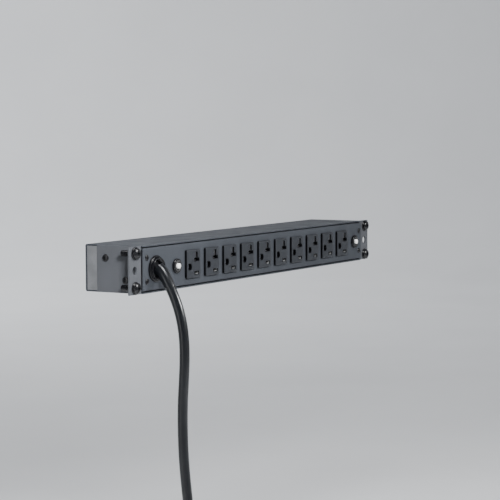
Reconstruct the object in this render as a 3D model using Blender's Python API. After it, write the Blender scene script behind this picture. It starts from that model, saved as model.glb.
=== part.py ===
"""Rack power strip: a one-unit 19 inch strip with ten NEMA 5-20R sockets on its front.

The origin is the centre of the four rack screws, on the plane where the ears' back faces
meet the rack rails.  +X runs to the right along the strip as seen from the front, +Y runs
into the rack and +Z is up.  Driving dimensions are in millimetres.
"""

import math

import bmesh
import bpy
from mathutils import Matrix, Vector

MM = 0.001
GAP = 0.3  # clearance between neighbouring solids

# Rack interface, after EIA-310
EAR_SPAN = 482.6
SCREW_SPAN_X = 465.1
SCREW_SPAN_Z = 31.75
EAR_HEIGHT = 43.6
EAR_THICK = 2.0

# Casing
BODY_WIDTH = 442.4
BODY_HEIGHT = 44.0
BODY_FRONT = -3.6
BODY_DEPTH = 64.0
PANEL_THICK = 1.5
SHEET = 1.2
FLANGE_DEPTH = 11.6
TAB_WIDTH = 10.0
SEAM = 1.0  # shadow gap between the face plate and the housing
PANEL_HALF_HEIGHT = BODY_HEIGHT / 2 - SHEET - SEAM
PANEL_BACK = BODY_FRONT + PANEL_THICK
BODY_BACK = BODY_FRONT + BODY_DEPTH
HALF_WIDTH = BODY_WIDTH / 2

# Sockets
SOCKETS = 10
SOCKET_PITCH = 34.35
FIRST_SOCKET_X = -137.8
SOCKET_FACE = (24.4, 26.8)
SOCKET_NECK = (22.6, 25.0)
SOCKET_PROUD = 2.7
SOCKET_BACK = 14.0
SLOT_X = 5.0
SLOT_MID_Z = -2.6
BLADE_PITCH = 12.7
EARTH_OFFSET = 11.9
SLOT_DEPTH = 13.0

# Circuit breakers
BREAKER_X = (-165.8, 203.0)
BUSHING_RADIUS = 5.5
BUTTON_RADIUS = 2.7
BUTTON_BORE = 3.1
BUTTON_BACK = 4.0
BUTTON_FRONT = -8.4
BREAKER_BACK = 30.0
BREAKER_HALF = (7.0, 15.0)
BUSHING_PROUD = 3.0
RING_RADIUS = 6.8
RING_HEIGHT = 2.2

# Ear slots, holes and screws
EAR_SLOT = (10.0, 3.4)  # length and end radius
MIDDLE_HOLE_RADIUS = 3.8
LEG_BACK = 46.0
FACE_SCREW_X = 215.5
FACE_SCREW_Z = 11.0
BRACKET_SCREWS = ((14.0, -10.0), (36.0, 10.0))
WASHER_THICK = 1.2

# Cord entry
GLAND_X = -201.0
GLAND_RADIUS = 12.3
GLAND_THREAD = 7.6
GLAND_NOSE = 10.6
GLAND_MOUTH = (6.9, 9.4)  # radius at its floor and at its rim
GLAND_REACH = 4.4
GLAND_INNER_LENGTH = 13.0
EXIT_TILT = 28.0  # of the cord, down from the face's normal
NUT_RADIUS = 9.8
NUT_HEIGHT = 5.0
BOOT_LENGTH = 24.0
BOOT_RADII = (6.2, 5.3)
BOOT_STEP = 3.0

# Inner wiring
BAR_THICK = 0.8
BAR_HALF_HEIGHT = 2.2
LEAD_DIAMETER = 3.4
STUD_RADIUS = 4.2
STUD_LENGTH = 9.0
STUD_Y = 48.0

# Cord, coil and plug
CORD_DIAMETER = 9.5
CORD_POINT_SPACING = 12.0
FLOOR_Z = -320.0
COIL_MID_RADIUS = 54.0
COIL_HALF_WIDTH = 19.2
COIL_HEIGHT = 29.0
COIL_EDGE = 4.5
COIL_CENTRE = (-145.0, 17.9)
COIL_BASE_Z = FLOOR_Z + 2.0
TIE_ANGLE = 115.0
TIE_HALF_WIDTH = 5.0
TIE_THICK = 1.3
PLUG_RADIUS = 17.0
PLUG_LENGTH = 34.0
PLUG_TAIL = 26.0
PLUG_OFFSET = (60.0, 39.0)  # its face, from the coil's centre
BLADE_LENGTH = 17.5
BLADE_HALF = (0.8, 3.1)
PIN_RADIUS = 2.37
PIN_LENGTH = 20.5

# The cord's route from the gland's mouth to the coil: it leaves tilted down, droops, hangs
# to the floor and runs into the coil.
CORD_ROUTE = [
    (-201.0, -7.3, -0.4),
    (-201.4, -10.8, -2.6),
    (-202.3, -13.9, -5.5),
    (-203.3, -16.8, -9.0),
    (-204.2, -20.4, -14.0),
    (-204.8, -23.7, -19.3),
    (-205.2, -27.3, -26.2),
    (-205.4, -30.7, -34.2),
    (-205.5, -33.6, -43.4),
    (-205.5, -35.9, -54.6),
    (-205.5, -37.2, -68.0),
    (-205.5, -37.3, -84.0),
    (-205.5, -36.4, -102.0),
    (-205.5, -35.2, -122.0),
    (-205.5, -34.9, -146.0),
    (-205.5, -36.0, -174.0),
    (-205.4, -38.8, -204.0),
    (-205.5, -42.6, -232.0),
    (-205.5, -46.2, -254.0),
    (-205.2, -48.5, -270.0),
    (-202.8, -49.6, -285.2),
    (-195.7, -50.2, -298.3),
    (-184.5, -50.5, -307.7),
    (-170.8, -50.5, -312.6),
    (-160.0, -50.5, -313.3),
    (-152.0, -50.5, -313.3),
]


def clear_scene():
    for obj in list(bpy.data.objects):
        bpy.data.objects.remove(obj, do_unlink=True)


# Materials ---------------------------------------------------------------------------


def material(name, colour, roughness, metallic=0.0):
    made = bpy.data.materials.new(name)
    made.use_nodes = True
    shader = made.node_tree.nodes["Principled BSDF"]
    shader.inputs["Base Color"].default_value = (*colour, 1.0)
    shader.inputs["Roughness"].default_value = roughness
    shader.inputs["Metallic"].default_value = metallic
    return made


def make_materials():
    return {
        "powder_coat": material("powder_coat", (0.055, 0.058, 0.064), 0.5),
        "socket": material("socket", (0.022, 0.023, 0.026), 0.42),
        "black_steel": material("black_steel", (0.012, 0.012, 0.013), 0.32, 0.6),
        "nylon": material("nylon", (0.008, 0.008, 0.009), 0.28),
        "cord_pvc": material("cord_pvc", (0.006, 0.006, 0.007), 0.22),
        "breaker": material("breaker", (0.02, 0.02, 0.021), 0.5),
        "button": material("button", (0.85, 0.85, 0.83), 0.35),
        "brass": material("brass", (0.78, 0.57, 0.28), 0.3, 1.0),
        "steel": material("steel", (0.62, 0.62, 0.63), 0.35, 1.0),
        "wire_black": material("wire_black", (0.015, 0.015, 0.015), 0.4),
        "wire_white": material("wire_white", (0.8, 0.8, 0.78), 0.4),
        "wire_green": material("wire_green", (0.05, 0.35, 0.1), 0.4),
        "hook_tape": material("hook_tape", (0.01, 0.01, 0.011), 0.8),
    }


# Solids ------------------------------------------------------------------------------


def add_object(name, bm, finish):
    """A mesh object in metres from a bmesh in millimetres, with its faces pointing out."""
    bmesh.ops.scale(bm, vec=(MM, MM, MM), verts=bm.verts)
    bmesh.ops.recalc_face_normals(bm, faces=bm.faces)
    mesh = bpy.data.meshes.new(name)
    bm.to_mesh(mesh)
    bm.free()
    obj = bpy.data.objects.new(name, mesh)
    bpy.context.scene.collection.objects.link(obj)
    if finish is not None:
        mesh.materials.append(finish)
    return obj


def smooth(obj, angle=35.0):
    obj.data.shade_smooth()
    obj.data.set_sharp_from_angle(angle=math.radians(angle))
    return obj


def add_box(bm, low, high):
    size = [b - a for a, b in zip(low, high)]
    middle = [(a + b) / 2 for a, b in zip(low, high)]
    place = Matrix.Translation(middle) @ Matrix.Diagonal((*size, 1.0))
    bmesh.ops.create_cube(bm, size=1.0, matrix=place)


def box(name, low, high, finish, bevel=0.0):
    bm = bmesh.new()
    add_box(bm, low, high)
    obj = add_object(name, bm, finish)
    if bevel > 0:
        edge = obj.modifiers.new("edges", "BEVEL")
        edge.width = bevel * MM
        edge.segments = 1
    return obj


def add_prism(bm, outline, axis, start, end):
    """Extrudes a closed outline along an axis; the outline lies in the other two axes in order."""
    others = [k for k in range(3) if k != axis]
    rings = []
    for level in (start, end):
        ring = []
        for point in outline:
            place = [0.0, 0.0, 0.0]
            place[axis] = level
            place[others[0]], place[others[1]] = point
            ring.append(bm.verts.new(place))
        rings.append(ring)
    first, last = rings
    count = len(outline)
    bm.faces.new(first)
    bm.faces.new(list(reversed(last)))
    for i in range(count):
        j = (i + 1) % count
        bm.faces.new((first[j], first[i], last[i], last[j]))


def prism(name, outline, axis, start, end, finish):
    bm = bmesh.new()
    add_prism(bm, outline, axis, start, end)
    return add_object(name, bm, finish)


def circle(centre, radius, segments):
    turn = 2 * math.pi / segments
    return [
        (centre[0] + radius * math.cos(i * turn), centre[1] + radius * math.sin(i * turn))
        for i in range(segments)
    ]


def rounded(points, radii, steps=3):
    """The outline with each corner whose radius isn't zero replaced by an arc."""
    out = []
    count = len(points)
    for i, (corner, radius) in enumerate(zip(points, radii)):
        here = Vector(corner)
        if radius <= 0:
            out.append(tuple(here))
            continue
        before = (Vector(points[i - 1]) - here).normalized()
        after = (Vector(points[(i + 1) % count]) - here).normalized()
        half = before.angle(after) / 2
        middle = here + (before + after).normalized() * (radius / math.sin(half))
        start = here + before * (radius / math.tan(half)) - middle
        end = here + after * (radius / math.tan(half)) - middle
        sweep = start.angle_signed(end)
        for k in range(steps + 1):
            spin = Matrix.Rotation(-sweep * k / steps, 2)
            out.append(tuple(middle + spin @ start))
    return out


def add_turned(bm, profile, centre, axis, segments):
    """Turns a profile of (radius, distance along axis) pairs; ends at zero radius are closed."""
    turn_to = Vector((0, 0, 1)).rotation_difference(Vector(axis)).to_matrix()
    place = Vector(centre)
    rings = []
    for radius, along in profile:
        if radius == 0:
            rings.append([bm.verts.new(turn_to @ Vector((0, 0, along)) + place)])
            continue
        ring = [
            bm.verts.new(turn_to @ Vector((x, y, along)) + place)
            for x, y in circle((0, 0), radius, segments)
        ]
        rings.append(ring)
    closed = profile[0][0] > 0 and profile[-1][0] > 0
    pairs = list(zip(rings, rings[1:])) + ([(rings[-1], rings[0])] if closed else [])
    for low, high in pairs:
        for i in range(segments):
            j = (i + 1) % segments
            corners = [low[i % len(low)], low[j % len(low)], high[j % len(high)], high[i % len(high)]]
            bm.faces.new(list(dict.fromkeys(corners)))


def turned(name, profile, centre, axis, finish, segments=24):
    bm = bmesh.new()
    add_turned(bm, profile, centre, axis, segments)
    return smooth(add_object(name, bm, finish))


def cut(target, cutter, operation="DIFFERENCE"):
    cutter.hide_render = True
    cutter.display_type = "WIRE"
    step = target.modifiers.new("cut_" + cutter.name, "BOOLEAN")
    step.operation = operation
    step.solver = "EXACT"
    step.object = cutter


# Routes ------------------------------------------------------------------------------


def smooth_route(points, spacing):
    """Points about one spacing apart on a centripetal Catmull-Rom curve through the points."""
    nodes = [Vector(p) for p in points]
    nodes = [2 * nodes[0] - nodes[1], *nodes, 2 * nodes[-1] - nodes[-2]]
    fine = []
    for p0, p1, p2, p3 in zip(nodes, nodes[1:], nodes[2:], nodes[3:]):
        t1 = math.sqrt((p1 - p0).length)
        t2 = t1 + math.sqrt((p2 - p1).length)
        t3 = t2 + math.sqrt((p3 - p2).length)
        for k in range(12):
            t = t1 + (t2 - t1) * k / 12
            a1 = p0.lerp(p1, t / t1)
            a2 = p1.lerp(p2, (t - t1) / (t2 - t1))
            a3 = p2.lerp(p3, (t - t2) / (t3 - t2))
            b1 = a1.lerp(a2, t / t2)
            b2 = a2.lerp(a3, (t - t1) / (t3 - t1))
            fine.append(b1.lerp(b2, (t - t1) / (t2 - t1)))
    fine.append(nodes[-2])
    length = sum((b - a).length for a, b in zip(fine, fine[1:]))
    count = max(2, round(length / spacing))
    out = [fine[0]]
    walked = 0.0
    target = length / count
    for a, b in zip(fine, fine[1:]):
        step = (b - a).length
        while walked + step >= target - 1e-6 and len(out) < count:
            out.append(a.lerp(b, (target - walked) / step))
            target += length / count
        walked += step
    out.append(fine[-1])
    return out


def tube(name, points, diameter, finish):
    """A cable of constant thickness with filled ends."""
    curve = bpy.data.curves.new(name, "CURVE")
    curve.dimensions = "3D"
    curve.bevel_depth = diameter / 2 * MM
    curve.bevel_resolution = 2
    curve.use_fill_caps = True
    line = curve.splines.new("POLY")
    line.points.add(len(points) - 1)
    for target, point in zip(line.points, points):
        target.co = (*(Vector(point) * MM), 1.0)
    curve.materials.append(finish)
    obj = bpy.data.objects.new(name, curve)
    bpy.context.scene.collection.objects.link(obj)
    return obj


def swept(name, points, radii, leaving, finish, segments=16):
    """A closed round solid along a route, with a radius at each point and a square first end."""
    bm = bmesh.new()
    rings = []
    side = None
    for i, (point, radius) in enumerate(zip(points, radii)):
        ahead = (points[min(i + 1, len(points) - 1)] - points[max(i - 1, 0)]).normalized()
        if side is None:
            ahead = Vector(leaving)
            side = ahead.cross(Vector((0, 0, 1))).normalized()
        side = (side - ahead * side.dot(ahead)).normalized()
        up = ahead.cross(side)
        rings.append(
            [bm.verts.new(point + side * x + up * y) for x, y in circle((0, 0), radius, segments)]
        )
    for low, high in zip(rings, rings[1:]):
        for i in range(segments):
            j = (i + 1) % segments
            bm.faces.new((low[i], low[j], high[j], high[i]))
    bm.faces.new(list(reversed(rings[0])))
    bm.faces.new(rings[-1])
    return smooth(add_object(name, bm, finish))


# Casing ------------------------------------------------------------------------------


def socket_centres():
    return [FIRST_SOCKET_X + i * SOCKET_PITCH for i in range(SOCKETS)]


def make_front_panel(finishes):
    """The face plate with its upper and lower return flanges, and every cut-out in it."""
    top, inner = PANEL_HALF_HEIGHT, PANEL_HALF_HEIGHT - PANEL_THICK
    back = BODY_FRONT + FLANGE_DEPTH
    outline = [
        (BODY_FRONT, -top),
        (BODY_FRONT, top),
        (back, top),
        (back, inner),
        (PANEL_BACK, inner),
        (PANEL_BACK, -inner),
        (back, -inner),
        (back, -top),
    ]
    outline = rounded(outline, [1.2, 1.2, 0, 0, 0, 0, 0, 0])
    panel = prism("front_panel", outline, 0, -HALF_WIDTH, HALF_WIDTH, finishes["powder_coat"])
    bm = bmesh.new()
    reach = (BODY_FRONT - 2, PANEL_BACK + 2)
    half_x, half_z = (size / 2 + GAP for size in SOCKET_NECK)
    for x in socket_centres():
        add_box(bm, (x - half_x, reach[0], -half_z), (x + half_x, reach[1], half_z))
    for x in BREAKER_X:
        add_prism(bm, circle((x, 0), BUSHING_RADIUS + GAP, 20), 1, *reach)
    add_prism(bm, circle((GLAND_X, 0), GLAND_THREAD + GAP, 24), 1, *reach)
    for x, z in face_screw_places():
        add_prism(bm, circle((x, z), 1.8, 10), 1, *reach)
    cut(panel, add_object("cutter_front_panel", bm, None))
    return panel


def make_housing(finishes):
    """The folded sheet that makes the top, the back and the bottom."""
    high = BODY_HEIGHT / 2
    low = high - SHEET
    front = BODY_FRONT + 0.4
    outline = [
        (front, high),
        (BODY_BACK, high),
        (BODY_BACK, -high),
        (front, -high),
        (front, -low),
        (BODY_BACK - SHEET, -low),
        (BODY_BACK - SHEET, low),
        (front, low),
    ]
    outline = rounded(outline, [0, 1.8, 1.8, 0, 0, 0.6, 0.6, 0])
    return prism("housing", outline, 0, -HALF_WIDTH, HALF_WIDTH, finishes["powder_coat"])


def make_end_plate(name, side, finishes):
    """The plate that closes one end, with a tab behind the face plate for two screws."""
    outer, inner = side * HALF_WIDTH, side * (HALF_WIDTH - SHEET)
    high = BODY_HEIGHT / 2 - SHEET - GAP
    neck = PANEL_HALF_HEIGHT - PANEL_THICK - GAP
    front = PANEL_BACK + GAP
    step = BODY_FRONT + FLANGE_DEPTH + GAP
    back = BODY_BACK - SHEET - 0.9
    outline = [
        (front, -neck),
        (front, neck),
        (step, neck),
        (step, high),
        (back, high),
        (back, -high),
        (step, -high),
        (step, -neck),
    ]
    start, end = sorted((outer, inner))
    plate = prism(name, outline, 0, start, end, finishes["steel"])
    tab = sorted((side * (HALF_WIDTH - 0.4), side * (HALF_WIDTH - TAB_WIDTH)))
    bm = bmesh.new()
    add_box(bm, (tab[0], front, -16), (tab[1], front + PANEL_THICK, 16))
    cut(plate, add_object("cutter_tab_" + name, bm, None), "UNION")
    bm = bmesh.new()
    for x, z in face_screw_places():
        if x * side > 0:
            add_prism(bm, circle((x, z), 1.65, 10), 1, front - 1, front + 4)
    for y, z in BRACKET_SCREWS:
        add_prism(bm, circle((y, z), 1.8, 10), 0, start - 2, end + 2)
    cut(plate, add_object("cutter_" + name, bm, None))
    return plate


def make_ear_bracket(name, side, finishes):
    """The angle bracket that carries one end: an ear with two slots and a hole, and a side leg."""
    inside = HALF_WIDTH + GAP
    leg = inside + EAR_THICK
    tip = EAR_SPAN / 2
    half = EAR_HEIGHT / 2
    front = -EAR_THICK
    outline = [(inside, front), (tip, front), (tip, 0), (leg, 0), (leg, LEG_BACK), (inside, LEG_BACK)]
    outline = rounded(outline, [1.6, 0, 0, 0, 0, 0])
    outline = [(side * x, y) for x, y in outline]
    bracket = prism(name, outline, 2, -half, half, finishes["powder_coat"])
    bm = bmesh.new()
    through = (-EAR_THICK - 2, 2)
    x = side * SCREW_SPAN_X / 2
    for z in (-SCREW_SPAN_Z / 2, SCREW_SPAN_Z / 2):
        slot = slot_outline((x, z), *EAR_SLOT)
        add_prism(bm, slot, 1, *through)
    add_prism(bm, circle((x, 0), MIDDLE_HOLE_RADIUS, 16), 1, *through)
    for y, z in BRACKET_SCREWS:
        start, end = sorted((side * (inside - 2), side * (leg + 2)))
        add_prism(bm, circle((y, z), 2.2, 12), 0, start, end)
    cut(bracket, add_object("cutter_" + name, bm, None))
    return bracket


def slot_outline(centre, length, radius):
    """A slot with round ends, lying along the first axis."""
    reach = length / 2 - radius
    out = []
    for end, start in ((1, -math.pi / 2), (-1, math.pi / 2)):
        for k in range(7):
            angle = start + math.pi * k / 6
            out.append(
                (
                    centre[0] + end * reach + radius * math.cos(angle),
                    centre[1] + radius * math.sin(angle),
                )
            )
    return out


def face_screw_places():
    return [(side * FACE_SCREW_X, z) for side in (-1, 1) for z in (-FACE_SCREW_Z, FACE_SCREW_Z)]


# Fasteners ---------------------------------------------------------------------------


def screw(name, centre, axis, head, shank, finish, drive=None, segments=20):
    """A pan-head screw: head and shank are (radius, length); its head points along the axis."""
    radius, height = head
    profile = [
        (0, -shank[1]),
        (shank[0] * 0.8, -shank[1]),
        (shank[0], -shank[1] + shank[0] * 0.4),
        (shank[0], 0),
        (radius, 0),
        (radius, height * 0.35),
        (radius * 0.86, height * 0.78),
        (radius * 0.6, height),
        (0, height),
    ]
    made = turned(name, profile, centre, axis, finish, segments)
    if drive:
        bm = bmesh.new()
        arm, width, deep = drive
        start = [c + a * (height - deep) for c, a in zip(centre, axis)]
        end = [c + a * (height + 1) for c, a in zip(centre, axis)]
        along = next(k for k in range(3) if axis[k])
        others = [k for k in range(3) if k != along]
        cross = cross_outline((centre[others[0]], centre[others[1]]), arm, width)
        add_prism(bm, cross, along, start[along], end[along])
        cut(made, add_object("cutter_" + name, bm, None))
    return made


def cross_outline(centre, arm, width):
    half = width / 2
    quarter = [(half, half), (half, arm), (-half, arm)]
    out = []
    for k in range(4):
        spin = Matrix.Rotation(k * math.pi / 2, 2)
        out += [tuple(spin @ Vector(p) + Vector(centre)) for p in quarter]
    return out


def make_fasteners(finishes):
    for side, word in ((-1, "left"), (1, "right")):
        for z, level in ((-1, "lower"), (1, "upper")):
            spot = (side * SCREW_SPAN_X / 2, z * SCREW_SPAN_Z / 2)
            face = -EAR_THICK - GAP
            ring = [(3.2, 0), (6.0, 0), (6.0, 0.5), (5.4, WASHER_THICK), (3.2, WASHER_THICK)]
            turned(
                f"cup_washer_{word}_{level}",
                ring,
                (spot[0], face, spot[1]),
                (0, -1, 0),
                finishes["nylon"],
                20,
            )
            seat = face - WASHER_THICK - GAP
            screw(
                f"rack_screw_{word}_{level}",
                (spot[0], seat, spot[1]),
                (0, -1, 0),
                (5.2, 2.9),
                (2.9, 16.0),
                finishes["black_steel"],
                (2.3, 1.0, 1.6),
            )
    for (x, z), level in zip(face_screw_places(), ("lower", "upper") * 2):
        word = "left" if x < 0 else "right"
        screw(
            f"face_screw_{word}_{level}",
            (x, BODY_FRONT - GAP, z),
            (0, -1, 0),
            (2.7, 0.9),
            (1.3, 7.0),
            finishes["black_steel"],
            (1.4, 0.6, 0.5),
            12,
        )
    for side, word in ((-1, "left"), (1, "right")):
        for (y, z), level in zip(BRACKET_SCREWS, ("front", "rear")):
            seat = side * (HALF_WIDTH + GAP + EAR_THICK + GAP)
            screw(
                f"bracket_screw_{word}_{level}",
                (seat, y, z),
                (side, 0, 0),
                (3.4, 1.2),
                (1.4, 6.5),
                finishes["black_steel"],
                (1.6, 0.7, 0.6),
                12,
            )


# Sockets -----------------------------------------------------------------------------


def make_socket(name, x, finish):
    """One snap-in receptacle, turned a quarter so that its earth hole is on the left."""
    front = BODY_FRONT - SOCKET_PROUD
    rim = BODY_FRONT - GAP
    bm = bmesh.new()
    half_x, half_z = (size / 2 for size in SOCKET_FACE)
    slope = 0.5
    neck = [size / 2 for size in SOCKET_NECK]
    levels = [
        (*neck, SOCKET_BACK),
        (*neck, rim),
        (half_x, half_z, rim),
        (half_x, half_z, front + slope),
        (half_x - slope, half_z - slope, front),
    ]
    rings = []
    for wide, high, y in levels:
        corners = [(-wide, -high), (wide, -high), (wide, high), (-wide, high)]
        corners = rounded(corners, [1.2] * 4, 2)
        rings.append([bm.verts.new((x + a, y, b)) for a, b in corners])
    for low, high in zip(rings, rings[1:]):
        for i in range(len(low)):
            j = (i + 1) % len(low)
            bm.faces.new((low[i], low[j], high[j], high[i]))
    bm.faces.new(rings[0])
    bm.faces.new(rings[-1])
    body = add_object(name, bm, finish)
    bm = bmesh.new()
    reach = (front - 1, front + SLOT_DEPTH)
    slot_x = x + SLOT_X
    hot_z = SLOT_MID_Z - BLADE_PITCH / 2
    neutral_z = SLOT_MID_Z + BLADE_PITCH / 2
    add_box(bm, (slot_x - 3.5, reach[0], hot_z - 1.2), (slot_x + 3.5, reach[1], hot_z + 1.2))
    tee = [
        (slot_x - 4.1, neutral_z - 1.2),
        (slot_x + 4.1, neutral_z - 1.2),
        (slot_x + 4.1, neutral_z + 1.2),
        (slot_x + 1.2, neutral_z + 1.2),
        (slot_x + 1.2, neutral_z + 6.9),
        (slot_x - 1.2, neutral_z + 6.9),
        (slot_x - 1.2, neutral_z + 1.2),
        (slot_x - 4.1, neutral_z + 1.2),
    ]
    add_prism(bm, tee, 1, *reach)
    earth_x = slot_x - EARTH_OFFSET
    flat = earth_x - 2.4
    arc = [
        (earth_x + 2.75 * math.cos(a), SLOT_MID_Z + 2.75 * math.sin(a))
        for a in (math.radians(-90 + 22.5 * k) for k in range(9))
    ]
    add_prism(bm, [(flat, SLOT_MID_Z - 2.75), *arc, (flat, SLOT_MID_Z + 2.75)], 1, *reach)
    cut(body, add_object("cutter_" + name, bm, None))
    return body


def make_bus_bars(finishes):
    """Strips behind the sockets: two line bars, one for each breaker's bank, neutral and earth."""
    centres = socket_centres()
    front = SOCKET_BACK + GAP
    back = front + BAR_THICK
    half = SOCKET_PITCH / 2 - 2
    middle = (centres[4] + centres[5]) / 2
    rows = [
        ("line_bar_left", centres[0] - 10, middle - 3, SLOT_MID_Z - BLADE_PITCH / 2),
        ("line_bar_right", middle + 3, centres[-1] + half, SLOT_MID_Z - BLADE_PITCH / 2),
        ("neutral_bar", centres[0] - 10, centres[-1] + half, SLOT_MID_Z + BLADE_PITCH / 2),
        ("earth_bar", centres[0] - 10, centres[-1] + half, SLOT_MID_Z),
    ]
    for name, start, end, z in rows:
        low, high = z - BAR_HALF_HEIGHT, z + BAR_HALF_HEIGHT
        box(name, (start, front, low), (end, back, high), finishes["brass"])


# Breakers ----------------------------------------------------------------------------


def make_breaker(word, x, finishes):
    """A push-to-reset thermal breaker: its body, the ring nut on its bushing and its button."""
    bm = bmesh.new()
    front = PANEL_BACK + GAP
    wide, high = BREAKER_HALF
    add_box(bm, (x - wide, front, -high), (x + wide, BREAKER_BACK, high))
    body = add_object(f"breaker_body_{word}", bm, finishes["breaker"])
    tip = BODY_FRONT - BUSHING_PROUD
    bm = bmesh.new()
    add_prism(bm, circle((x, 0), BUSHING_RADIUS, 20), 1, tip, front + 1)
    cut(body, add_object(f"cutter_bushing_{word}", bm, None), "UNION")
    bm = bmesh.new()
    add_prism(bm, circle((x, 0), BUTTON_BORE, 16), 1, tip - 1, BUTTON_BACK + 2)
    cut(body, add_object(f"cutter_bore_{word}", bm, None))
    inner = BUSHING_RADIUS + GAP
    ring = [
        (inner, 0),
        (RING_RADIUS, 0),
        (RING_RADIUS, RING_HEIGHT - 0.7),
        (RING_RADIUS - 0.5, RING_HEIGHT),
        (inner, RING_HEIGHT),
    ]
    turned(
        f"ring_nut_{word}",
        ring,
        (x, BODY_FRONT - GAP, 0),
        (0, -1, 0),
        finishes["black_steel"],
    )
    length = BUTTON_BACK - BUTTON_FRONT
    profile = [
        (0, 0),
        (BUTTON_RADIUS, 0),
        (BUTTON_RADIUS, length - 0.6),
        (BUTTON_RADIUS - 0.25, length - 0.15),
        (BUTTON_RADIUS - 0.8, length),
        (0, length),
    ]
    turned(
        f"reset_button_{word}",
        profile,
        (x, BUTTON_BACK, 0),
        (0, -1, 0),
        finishes["button"],
        16,
    )


# Cord entry and inner wiring ----------------------------------------------------------


def make_cord_entry(finishes):
    """The strain-relief bushing through the face, its nut inside and the boot on the cord."""
    lip = BODY_FRONT - GAP
    inside = PANEL_BACK + GLAND_INNER_LENGTH
    profile = [
        (0, inside - lip),
        (GLAND_THREAD, inside - lip),
        (GLAND_THREAD, 0),
        (GLAND_RADIUS, 0),
        (GLAND_RADIUS, -1.0),
        (GLAND_RADIUS - 0.8, -2.0),
        (GLAND_NOSE, -2.3),
        (GLAND_NOSE, 0.6 - GLAND_REACH),
        (GLAND_NOSE - 0.5, -GLAND_REACH),
        (GLAND_MOUTH[1], -GLAND_REACH),
        (GLAND_MOUTH[0], 0),
        (0, 0),
    ]
    turned("cord_bushing", profile, (GLAND_X, lip, 0), (0, 1, 0), finishes["nylon"], 28)
    nut = [
        (GLAND_THREAD + GAP, 0),
        (NUT_RADIUS, 0),
        (NUT_RADIUS, NUT_HEIGHT),
        (GLAND_THREAD + GAP, NUT_HEIGHT),
    ]
    turned("bushing_nut", nut, (GLAND_X, PANEL_BACK + GAP, 0), (0, 1, 0), finishes["nylon"])
    route = smooth_route(CORD_ROUTE, BOOT_STEP)
    steps = round(BOOT_LENGTH / BOOT_STEP)
    wide, narrow = BOOT_RADII
    radii = [wide + (narrow - wide) * k / steps for k in range(steps + 1)]
    tilt = math.radians(EXIT_TILT)
    leaving = (0, -math.cos(tilt), -math.sin(tilt))
    swept("strain_relief", route[: steps + 1], radii, leaving, finishes["nylon"])


def make_power_cord(finishes):
    """The cord from the end of the boot to the outside of the coil."""
    fine = smooth_route(CORD_ROUTE, 1.0)
    start = math.ceil(BOOT_LENGTH + GAP)
    ring_reach = COIL_MID_RADIUS + COIL_HALF_WIDTH
    inner_side = COIL_CENTRE[1] - (CORD_ROUTE[-1][1] + CORD_DIAMETER / 2)
    end_x = COIL_CENTRE[0] - math.sqrt(ring_reach**2 - inner_side**2) - GAP
    line = [p for i, p in enumerate(fine) if i >= start and (p.z > FLOOR_Z / 2 or p.x < end_x)]
    step = round(CORD_POINT_SPACING)
    points = [line[0], line[2], *line[step:-step:step], line[-3], line[-1]]
    tube("power_cord", points, CORD_DIAMETER, finishes["cord_pvc"])


def make_wiring(finishes):
    """Leads from the cord to the breakers and bars, and the earth stud on the left end plate."""
    stud_x = -HALF_WIDTH + SHEET + GAP
    entry = PANEL_BACK + GLAND_INNER_LENGTH + GAP
    bar = SOCKET_BACK + GAP + BAR_THICK + GAP
    left, right = BREAKER_X
    terminal = BREAKER_BACK + GAP
    line_z = SLOT_MID_Z - BLADE_PITCH / 2
    neutral_z = SLOT_MID_Z + BLADE_PITCH / 2
    start_x = socket_centres()[0] - 7
    routes = {
        "line_lead_left": (
            "wire_black",
            (GLAND_X + 3.5, entry, -5),
            [(GLAND_X + 12, 32, -8), (left - 9, 40, -8)],
            (left, terminal, -8),
        ),
        "line_lead_right": (
            "wire_black",
            (GLAND_X - 3.5, entry, -5),
            [(GLAND_X, 40, -12), (GLAND_X + 16, 50, -16), (0, 51, -16), (right - 30, 49, -14)],
            (right, terminal, -8),
        ),
        "load_lead_left": (
            "wire_black",
            (left, terminal, 9),
            [(left + 10, 40, 4), (left + 16, 34, -3)],
            (start_x + 2, bar, line_z),
        ),
        "load_lead_right": (
            "wire_black",
            (right, terminal, 9),
            [(right - 10, 40, 4), (right - 18, 34, -3)],
            (174, bar, line_z),
        ),
        "neutral_lead": (
            "wire_white",
            (GLAND_X + 3.5, entry, 5),
            [(GLAND_X + 12, 36, 15), (left + 4, 44, 17), (left + 16, 34, 12)],
            (start_x + 2, bar, neutral_z),
        ),
        "earth_lead": (
            "wire_green",
            (GLAND_X - 4, entry, 4),
            [(GLAND_X - 5, 26, 3), (GLAND_X - 6, 34, 1)],
            (stud_x + STUD_LENGTH / 2, STUD_Y - STUD_RADIUS - GAP, 0),
        ),
    }
    stub = Vector((0, 4, 0))
    for name, (finish, start, middle, end) in routes.items():
        leave = Vector(end) - stub if name == "earth_lead" else Vector(end) + stub
        curved = smooth_route([Vector(start) + stub, *middle, leave], 7.0)
        tube(name, [start, *curved, end], LEAD_DIAMETER, finishes[finish])
    profile = [(0, 0), (STUD_RADIUS, 0), (STUD_RADIUS, STUD_LENGTH), (0, STUD_LENGTH)]
    turned("earth_stud", profile, (stud_x, STUD_Y, 0), (1, 0, 0), finishes["brass"], 12)


# Coil and plug -----------------------------------------------------------------------


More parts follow.
